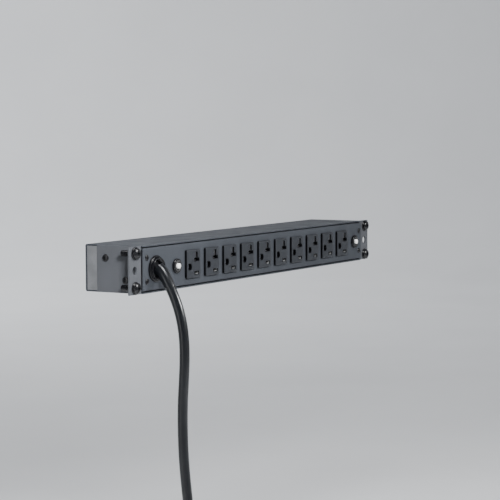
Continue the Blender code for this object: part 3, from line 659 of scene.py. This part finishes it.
def make_plug():
    """A moulded straight plug: a round face, finger grips, a ringed tail and three contacts."""
    x = COIL_CENTRE[0] + PLUG_OFFSET[0]
    face_y = COIL_CENTRE[1] + PLUG_OFFSET[1]
    z = COIL_BASE_Z + COIL_HEIGHT + GAP + PLUG_RADIUS
    profile = [(0, 0.6), (PLUG_RADIUS - 3.0, 0.6), (PLUG_RADIUS - 2.4, 0.0), (PLUG_RADIUS - 1.2, 0.0)]
    profile += arc_profile((PLUG_RADIUS - 1.2, 1.2), 1.2, -90, 0, 5)[1:]
    profile += [(PLUG_RADIUS, y) for y in (2.5, 4, 6, 8, 10, 12, 14, 15.5)]
    profile += [(16.7, 17.5), (15.9, 19.8), (14.9, 22.2), (13.6, 25.0)]
    profile += [(12.2, 28.0), (10.8, 31.2), (9.4, 34.0)]
    profile += [(8.2, 35.4), (7.6, 36.6)]
    tail = PLUG_LENGTH + PLUG_TAIL
    for k in range(6):
        start = 37.2 + k * 3.4
        r = 7.35 - k * 0.24
        profile += [(r, start), (r, start + 1.7), (r - 0.75, start + 2.0), (r - 0.75, start + 3.1)]
    profile += [(6.0, 57.9), (5.9, tail - 0.7), (5.4, tail), (0, tail)]

    def grip(angle, along):
        if not 2.4 < along < 24.0:
            return 1.0
        fade = smooth_step((along - 2.4) / 2.0) * smooth_step((24.0 - along) / 4.0)
        return 1.0 - 0.035 * fade * max(0.0, math.cos(18 * angle)) ** 0.5

    body = turned("plug", profile, (x, face_y, z), (0, -1, 0), "plug_vinyl", 108, grip)
    shade(body, 42)
    blades = []
    for word, across, upright in (("line", BLADE_HALF_PITCH, True), ("neutral", -BLADE_HALF_PITCH, False)):
        tip, root, half = face_y + 17.5, face_y + GAP, 3.1
        outline = rounded([(root, -half), (tip, -half), (tip, half), (root, half)], [0, 1.4, 1.4, 0], 5)
        bm = bmesh.new()
        if upright:
            add_prism(bm, outline, 0, x + across - 0.8, x + across + 0.8)
            for v in bm.verts:
                v.co.z += z
        else:
            flat = [(b + x + across, a) for a, b in outline]
            add_prism(bm, flat, 2, z - 0.8, z + 0.8)
        blade = new_object(f"plug_blade_{word}_piece", bm, "brass")
        bm = bmesh.new()
        hole = face_y + 12.5
        if upright:
            add_prism(bm, circle((hole, z), 1.5, 24), 0, x + across - 3, x + across + 3)
        else:
            add_prism(bm, circle((x + across, hole), 1.5, 24), 2, z - 3, z + 3)
        cut(blade, new_object("cutter", bm, None))
        soften(blade, 0.28)
        blades.append(blade)
    pin = [(0, -GAP)] + [(2.37, -GAP), (2.37, 17.6)]
    pin += [(2.37 * math.cos(a), 17.6 + 2.6 * math.sin(a)) for a in (k * math.pi / 16 for k in range(1, 8))]
    pin = [(r, max(0.0, along + GAP)) for r, along in pin] + [(0, 20.5)]
    earth = turned("plug_pin_piece", pin, (x, face_y + GAP, z - EARTH_OFFSET), (0, 1, 0), "brass", 32)
    shade(earth, 40)
    return body, blades, earth


cord = make_cord()
boot = make_boot()
tie = make_tie()
plug, plug_blades, plug_pin = make_plug()
stand_for(boot, "strip", "cord_vinyl", "strain_relief")
stand_for(cord, "strip", "cord_vinyl", "power_cord", "cord_coil")
stand_for(tie, "strip", "hook_tape", "coil_tie")
stand_for(plug, "strip", "cord_vinyl", "plug_body")
stand_for(plug_blades[0], "strip", "brass", "plug_blade_line")
stand_for(plug_blades[1], "strip", "brass", "plug_blade_neutral")
stand_for(plug_pin, "strip", "brass", "plug_pin_earth")
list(plug_blades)


# Casing ------------------------------------------------------------------------------


def socket_centres():
    return [FIRST_SOCKET_X + i * SOCKET_PITCH for i in range(SOCKETS)]


def make_face_plate():
    """The face plate with its two return flanges and its cut-outs."""
    top, inner = PANEL_HALF_HEIGHT, PANEL_HALF_HEIGHT - PANEL_THICK
    back, rear = BODY_FRONT + PANEL_THICK, BODY_FRONT + FLANGE_DEPTH
    outline = [(BODY_FRONT, -top), (BODY_FRONT, top), (rear, top), (rear, inner), (back, inner)]
    outline += [(back, -inner), (rear, -inner), (rear, -top)]
    outline = rounded(outline, [1.2, 1.2, 0, 0, 0.4, 0.4, 0, 0], 6)
    plate = prism("face_plate", outline, 0, -HALF_WIDTH, HALF_WIDTH, "powder_coat")
    bm = bmesh.new()
    reach = (BODY_FRONT - 2, back + 2)
    half_x, half_z = (size / 2 + GAP for size in SOCKET_NECK)
    for x in socket_centres():
        add_box(bm, (x - half_x, reach[0], -half_z), (x + half_x, reach[1], half_z))
    for _, x in BREAKERS:
        add_prism(bm, circle((x, 0), 5.8, 40), 1, *reach)
    add_prism(bm, circle((GLAND_X, 0), GLAND_THREAD + GAP, 48), 1, *reach)
    for side in (-1, 1):
        for level in (-1, 1):
            add_prism(bm, circle((side * FACE_SCREW[0], level * FACE_SCREW[1]), 1.8, 24), 1, *reach)
    cut(plate, new_object("cutter", bm, None))
    soften(plate, 0.25)
    return plate


def make_shell():
    """The folded sheet that makes the top, the back and the bottom."""
    high, low, front = BODY_HALF_HEIGHT, BODY_HALF_HEIGHT - SHEET, BODY_FRONT + 0.4
    inner = BODY_BACK - SHEET
    outline = [(front, high), (BODY_BACK, high), (BODY_BACK, -high), (front, -high)]
    outline += [(front, -low), (inner, -low), (inner, low), (front, low)]
    outline = rounded(outline, [0, 1.8, 1.8, 0, 0, 0.6, 0.6, 0], 8)
    shell = prism("shell", outline, 0, -HALF_WIDTH, HALF_WIDTH, "powder_coat")
    soften(shell, 0.3, 3)
    return shell


def slot_outline(centre, length, radius, steps=12):
    reach = length / 2 - radius
    out = []
    for end, start in ((1, -math.pi / 2), (-1, math.pi / 2)):
        for k in range(steps + 1):
            a = start + math.pi * k / steps
            out.append((centre[0] + end * reach + radius * math.cos(a), centre[1] + radius * math.sin(a)))
    return out


def make_ear(word, side):
    """One angle bracket: rounded bend and corners, two slots, a hole and screw holes."""
    inside = HALF_WIDTH + GAP
    leg = inside + EAR_THICK
    outline = [(inside, -EAR_THICK), (EAR_TIP, -EAR_THICK), (EAR_TIP, 0)]
    outline += [(leg, 0), (leg, LEG_BACK), (inside, LEG_BACK)]
    outline = rounded(outline, [1.6, 0, 0, 0.6, 0, 0], 8)
    outline = [(side * x, y) for x, y in outline]
    # Both ears take the lighter copy of the charcoal coat, which is painted light.
    ear = prism(f"ear_{word}", outline, 2, -EAR_HALF_HEIGHT, EAR_HALF_HEIGHT, "ear_coat_painted_light")
    bm = bmesh.new()
    through = (-EAR_THICK - 2, 2)
    x = side * RACK_SCREW[0]
    for level in (-1, 1):
        add_prism(bm, slot_outline((x, level * RACK_SCREW[1]), 10.0, 3.4), 1, *through)
    add_prism(bm, circle((x, 0), 3.8, 40), 1, *through)
    for y, z in BRACKET_SCREWS:
        start, end = sorted((side * (inside - 2), side * (leg + 2)))
        add_prism(bm, circle((y, z), 2.2, 28), 0, start, end)
    cut(ear, new_object("cutter", bm, None))
    soften(ear, 0.3, 3)
    return ear


stand_for(make_face_plate(), "strip", "powder_coat", "front_panel")
stand_for(make_shell(), "strip", "powder_coat", "housing")
for word, side in (("left", -1), ("right", 1)):
    stand_for(make_ear(word, side), "strip", "powder_coat", f"ear_bracket_{word}")


# Fasteners ---------------------------------------------------------------------------


def make_fasteners():
    face = -EAR_THICK - GAP
    washer = [(3.2, 0), (5.8, 0)]
    washer += arc_profile((5.6, 0.4), 0.4, -30, 60, 4)
    washer += [(5.35, 1.05), (5.0, 1.2), (3.5, 1.2), (3.2, 0.9)]
    for word, side in (("left", -1), ("right", 1)):
        for level, sign in (("lower", -1), ("upper", 1)):
            x, z = side * RACK_SCREW[0], sign * RACK_SCREW[1]
            ring = shade(turned(f"washer_{word}_{level}", washer, (x, face, z), (0, -1, 0), "black_nylon"))
            stand_for(ring, "strip", "black_nylon", f"cup_washer_{word}_{level}")
            seat = (x, face - 1.2 - GAP, z)
            name = f"rack_bolt_{word}_{level}"
            made = screw(name, seat, (0, -1, 0), (5.2, 2.9), (2.9, 16.0), (2.3, 1.0, 1.6), 1.0)
            stand_for(made, "strip", "black_steel", f"rack_screw_{word}_{level}")
            seat = (side * FACE_SCREW[0], BODY_FRONT - GAP, sign * FACE_SCREW[1])
            name = f"face_bolt_{word}_{level}"
            made = screw(name, seat, (0, -1, 0), (2.7, 0.9), (1.3, 7.0), (1.4, 0.6, 0.5), 0.6)
            stand_for(made, "strip", "black_steel", f"face_screw_{word}_{level}")
        for (y, z), level in zip(BRACKET_SCREWS, ("front", "rear")):
            seat = (side * (HALF_WIDTH + 2 * GAP + EAR_THICK), y, z)
            name = f"bracket_bolt_{word}_{level}"
            made = screw(name, seat, (side, 0, 0), (3.4, 1.2), (1.4, 6.5), (1.6, 0.7, 0.6), 0.7)
            stand_for(made, "strip", "black_steel", f"bracket_screw_{word}_{level}")


make_fasteners()


# Sockets -----------------------------------------------------------------------------


def socket_cuts(x, depth_from, grow):
    """The three openings of a socket, grown all round by a margin."""
    bm = bmesh.new()
    slot_x = x + SLOT_X
    line_z, neutral_z = SLOT_MID_Z - BLADE_HALF_PITCH, SLOT_MID_Z + BLADE_HALF_PITCH
    line = rectangle((slot_x - 3.5 - grow, line_z - 1.2 - grow), (slot_x + 3.5 + grow, line_z + 1.2 + grow))
    add_prism(bm, line, 1, *depth_from)
    wide, thin, arm = 4.1 + grow, 1.2 + grow, 6.9 + grow
    tee = [(-wide, -thin), (wide, -thin), (wide, thin), (thin, thin)]
    tee += [(thin, arm), (-thin, arm), (-thin, thin), (-wide, thin)]
    add_prism(bm, [(slot_x + a, neutral_z + b) for a, b in tee], 1, *depth_from)
    earth_x, r = slot_x - EARTH_OFFSET, 2.75 + grow
    arc = [
        (earth_x + r * math.cos(a), SLOT_MID_Z + r * math.sin(a))
        for a in (math.radians(-90 + 10 * k) for k in range(19))
    ]
    flat = earth_x - 2.4 - grow
    add_prism(bm, [(flat, SLOT_MID_Z - r), *arc, (flat, SLOT_MID_Z + r)], 1, *depth_from)
    return bm


def make_socket(name, x):
    """A snap-in receptacle with a raised, eased face and chamfered openings, whose side walls and opening
    walls are painted near-black as painted shade.
    """
    front, rim = BODY_FRONT - SOCKET_PROUD, BODY_FRONT - GAP
    half_x, half_z = (size / 2 for size in SOCKET_FACE)
    neck = [size / 2 for size in SOCKET_NECK]
    ease = 0.7
    levels = [(*neck, SOCKET_BACK, 1.2), (*neck, rim, 1.2), (half_x, half_z, rim, 1.3)]
    for k in range(5):
        a = math.pi / 2 * k / 4
        inset = ease * (1 - math.cos(a))
        levels.append((half_x - inset, half_z - inset, front + ease * (1 - math.sin(a)), 1.3))
    bm = bmesh.new()
    rings = []
    for wide, high, y, corner in levels:
        outline = rounded(rectangle((-wide, -high), (wide, high)), [corner] * 4, 5)
        rings.append([bm.verts.new((x + a, y, b)) for a, b in outline])
    for low, high in zip(rings, rings[1:]):
        for i in range(len(low)):
            j = (i + 1) % len(low)
            bm.faces.new((low[i], low[j], high[j], high[i]))
    bm.faces.new(rings[0])
    bm.faces.new(rings[-1])
    body = new_object(name, bm, "socket_plastic")
    # Faces that look sideways get the near-black copy of the plastic, which is painted shade.
    body.data.materials.append(FINISHES["socket_painted_shade"])
    for face in body.data.polygons:
        if abs(face.normal.y) < 0.2:
            face.material_index = 1
    # The walls of the slots and of the lead-ins take the same near-black painted shade.
    cut(body, new_object("cutter", socket_cuts(x, (front - 1, front + SLOT_DEPTH), 0.0), "socket_painted_shade"))
    lead_in = socket_cuts(x, (front - 1, front + LEAD_IN_DEPTH), LEAD_IN_MARGIN)
    cut(body, new_object("cutter", lead_in, "socket_painted_shade"))
    return shade(body, 30)


def make_contacts(name, x):
    """Folded plated leaves just inside the openings of one socket."""
    front = BODY_FRONT - SOCKET_PROUD
    start, end = front + 0.7, front + SLOT_DEPTH - 0.6
    slot_x = x + SLOT_X
    line_z, neutral_z = SLOT_MID_Z - BLADE_HALF_PITCH, SLOT_MID_Z + BLADE_HALF_PITCH
    bm = bmesh.new()
    thick = 0.4
    for low, high, sunk in (
        ((slot_x - 1.2, line_z - 1.15), (slot_x + 3.4, line_z - 1.15 + 2 * thick), 0.0),
        ((slot_x + 3.4 - thick, line_z - 1.15 + 2 * thick), (slot_x + 3.4, line_z + 0.9), 0.0),
        ((slot_x + 1.15 - thick, neutral_z + 1.6), (slot_x + 1.15, neutral_z + 6.6), 0.4),
        ((slot_x - 3.9, neutral_z - 1.15), (slot_x + 3.9, neutral_z - 1.15 + thick), 2.5),
    ):
        add_prism(bm, rectangle(low, high), 1, start + sunk, end)
    earth_x = slot_x - EARTH_OFFSET
    ring = [(2.1, 3.0), (2.65, 3.0), (2.65, SLOT_DEPTH - 0.6), (2.1, SLOT_DEPTH - 0.6)]
    steps = 10
    rows = []
    for k in range(steps + 1):
        a = math.radians(-80 + 160 * k / steps)
        rows.append(
            [
                bm.verts.new((earth_x + r * math.cos(a), front + along, SLOT_MID_Z + r * math.sin(a)))
                for r, along in ring
            ]
        )
    for low, high in zip(rows, rows[1:]):
        for i in range(4):
            j = (i + 1) % 4
            bm.faces.new((low[i], low[j], high[j], high[i]))
    bm.faces.new(rows[0])
    bm.faces.new(list(reversed(rows[-1])))
    return new_object(name, bm, "contact")


for index, x in enumerate(socket_centres()):
    number = f"{index + 1:02d}"
    socket = make_socket(f"receptacle_{number}", x)
    stand_for(socket, "strip", "socket_plastic", f"socket_{number}")
    stand_for(make_contacts(f"contacts_{number}", x), "strip", "brass")


# Breakers ----------------------------------------------------------------------------


def make_breaker(word, x):
    """The thermal breaker: its case, threaded bushing, ring nut and domed white button."""
    front, tip = BODY_FRONT + PANEL_THICK + GAP, BODY_FRONT - 3.0
    bm = bmesh.new()
    add_box(bm, (x - 7, front, -15), (x + 7, 30.0, 15))
    case = new_object(f"breaker_{word}", bm, "breaker_plastic")
    soften(case, 0.5, 3)
    bm = bmesh.new()
    length = front + 1 - tip
    count = 40
    profile = [(0, length), (5.3, length)]
    profile += [(5.5, length - length * k / count) for k in range(1, count)]
    profile += [(5.1, 0.0), (0, 0.0)]
    thread = thread_wobble(5.5, 0.35, 0.8, 0.2, length)
    add_turned(bm, profile, (x, tip, 0), (0, 1, 0), 64, thread)
    cut(case, new_object("cutter", bm, None), "UNION")
    bm = bmesh.new()
    bore = [(0, -1), (3.5, -1), (3.5, 0.2), (3.1, 0.55), (3.1, 12.6), (0, 12.6)]
    add_turned(bm, bore, (x, tip, 0), (0, 1, 0), 48)
    cut(case, new_object("cutter", bm, None))
    stand_for(shade(case, 38), "strip", "breaker_plastic", f"breaker_body_{word}")

    inner = 5.8
    nut = [(inner, 0), (6.5, 0), (6.8, 0.3), (6.8, 1.45)]
    nut += arc_profile((6.25, 1.65), 0.55, 0, 90, 5)
    nut += [(inner + 0.25, 2.2), (inner, 1.95)]

    def knurl(angle, along):
        return 1.0 - 0.012 * (math.cos(30 * angle) > 0) if 0.25 < along < 1.5 else 1.0

    ring = turned(f"ring_{word}", nut, (x, BODY_FRONT - GAP, 0), (0, -1, 0), "black_steel", 120, knurl)
    stand_for(shade(ring, 38), "strip", "black_steel", f"ring_nut_{word}")

    length, crown = 12.4, 0.9
    dome = [
        (BUTTON_RADIUS * math.cos(a), length - crown + crown * math.sin(a))
        for a in (k * math.pi / 20 for k in range(10))
    ]
    profile = [(0, 0), (BUTTON_RADIUS - 0.1, 0), (BUTTON_RADIUS, 0.1), *dome, (0, length)]
    button = turned(f"button_{word}", profile, (x, 4.0, 0), (0, -1, 0), "button_plastic", 48)
    stand_for(shade(button, 50), f"{word}_button", "button_plastic", f"reset_button_{word}")


for word, x in BREAKERS:
    make_breaker(word, x)


# Cord entry --------------------------------------------------------------------------


def make_gland():
    """The strain-relief bushing: a rounded collar, a stepped nose and a bell mouth."""
    inner = BODY_FRONT + PANEL_THICK + 13.0 - GLAND_LIP
    tip = -GLAND_REACH
    profile = [(0, inner), (GLAND_THREAD - 0.4, inner), (GLAND_THREAD, inner - 0.4), (GLAND_THREAD, 0.0)]
    profile += [(GLAND_RADIUS - 0.2, 0.0), (GLAND_RADIUS, -0.2), (GLAND_RADIUS, -0.9)]
    profile += arc_profile((GLAND_RADIUS - 1.0, -1.1), 1.0, 0, -80, 7)[1:]
    profile += [(GLAND_NOSE + 0.15, -2.05), (GLAND_NOSE, -2.3), (GLAND_NOSE, tip + 0.9)]
    profile += arc_profile((GLAND_NOSE - 0.6, tip + 0.6), 0.6, 0, -180, 10)
    rim, floor = GLAND_MOUTH[1], GLAND_MOUTH[0]
    for k in range(7):
        t = k / 6
        profile.append((rim - (rim - floor) * t**0.7, tip + 0.7 + (GLAND_REACH - 0.7) * t))
    profile += [(4.6, 0.0), (0, 0.0)]
    gland = turned("cord_gland", profile, (GLAND_X, GLAND_LIP, 0), (0, 1, 0), "black_nylon", 96)
    stand_for(shade(gland, 40), "strip", "black_nylon", "cord_bushing")


make_gland()


# CAD nodes that are kept get their finishes -------------------------------------------

KEPT = {
    "plated_steel": ("end_plate_left", "end_plate_right"),
    "black_nylon": ("bushing_nut",),
    "brass": ("line_bar_left", "line_bar_right", "neutral_bar", "earth_bar", "earth_stud"),
    "lead_black": ("line_lead_left", "line_lead_right", "load_lead_left", "load_lead_right"),
    "lead_white": ("neutral_lead",),
    "lead_green": ("earth_lead",),
}
for finish, names in KEPT.items():
    for name in names:
        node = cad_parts[name]
        if node.material_slots:
            for slot in node.material_slots:
                slot.material = FINISHES[finish]
        else:
            node.data.materials.append(FINISHES[finish])


# Floor, backdrop and lights -----------------------------------------------------------


def make_floor():
    """A pale studio bowl: a round floor that curves up into a wall on every side."""
    reach, curve, top, segments = 3.2, 1.2, 4.5, 96
    profile = [(0.6, 0.0), (reach, 0.0)]
    for k in range(1, 17):
        a = math.pi / 2 * k / 16
        profile.append((reach + curve * math.sin(a), curve * (1 - math.cos(a))))
    profile.append((reach + curve, top))
    bm = bmesh.new()
    base = FLOOR_Z * MM
    rows = []
    for r, height in profile:
        rows.append([bm.verts.new((x, y, base + height)) for x, y in circle((0, 0), r, segments)])
    bm.faces.new(rows[0])
    for low, high in zip(rows, rows[1:]):
        for i in range(segments):
            j = (i + 1) % segments
            bm.faces.new((low[i], high[i], high[j], low[j]))
    mesh = bpy.data.meshes.new("floor")
    bm.to_mesh(mesh)
    bm.free()
    floor = bpy.data.objects.new("floor", mesh)
    bpy.context.scene.collection.objects.link(floor)
    mesh.shade_smooth()
    made = Finish("pale_floor", (0.80, 0.81, 0.82), 0.8)
    made.tint(made.noise(3.0, 5.0), (0.77, 0.78, 0.79))
    made.bump(made.noise(400.0, 3.0), 0.0001, 0.2)
    mesh.materials.append(made.material)


def area_light(name, place, target, size, power, colour=(1, 1, 1), glossy=True):
    data = bpy.data.lights.new(name, "AREA")
    data.shape = "RECTANGLE"
    data.size, data.size_y = size
    data.energy = power
    data.color = colour
    light = bpy.data.objects.new(name, data)
    bpy.context.scene.collection.objects.link(light)
    light.location = place
    light.visible_glossy = glossy
    light.rotation_euler = (Vector(target) - Vector(place)).to_track_quat("-Z", "Y").to_euler()


def make_lights():
    world = bpy.data.worlds.new("studio")
    bpy.context.scene.world = world
    world.use_nodes = True
    background = world.node_tree.nodes["Background"]
    background.inputs["Color"].default_value = (0.86, 0.90, 1.0, 1.0)
    background.inputs["Strength"].default_value = 0.1
    cool = (0.97, 0.98, 1.0)
    area_light("key", (0.25, -0.95, 0.5), (-0.08, 0.0, 0.0), (0.22, 0.22), 12.0)
    area_light("left_front", (-0.58, -0.34, 0.22), (-0.24, 0.0, 0.0), (0.12, 0.12), 6.0, cool, False)
    area_light("left_top", (-0.26, -0.16, 0.5), (-0.22, -0.02, 0.0), (0.14, 0.14), 1.8, cool)
    area_light("backdrop", (1.5, 2.4, 2.0), (2.3, 1.6, 0.0), (1.6, 1.6), 75.0, cool, False)
    area_light("edge", (-1.5, 0.4, 0.1), (-0.2, -0.03, -0.1), (0.16, 1.2), 3.2)


make_floor()
make_lights()
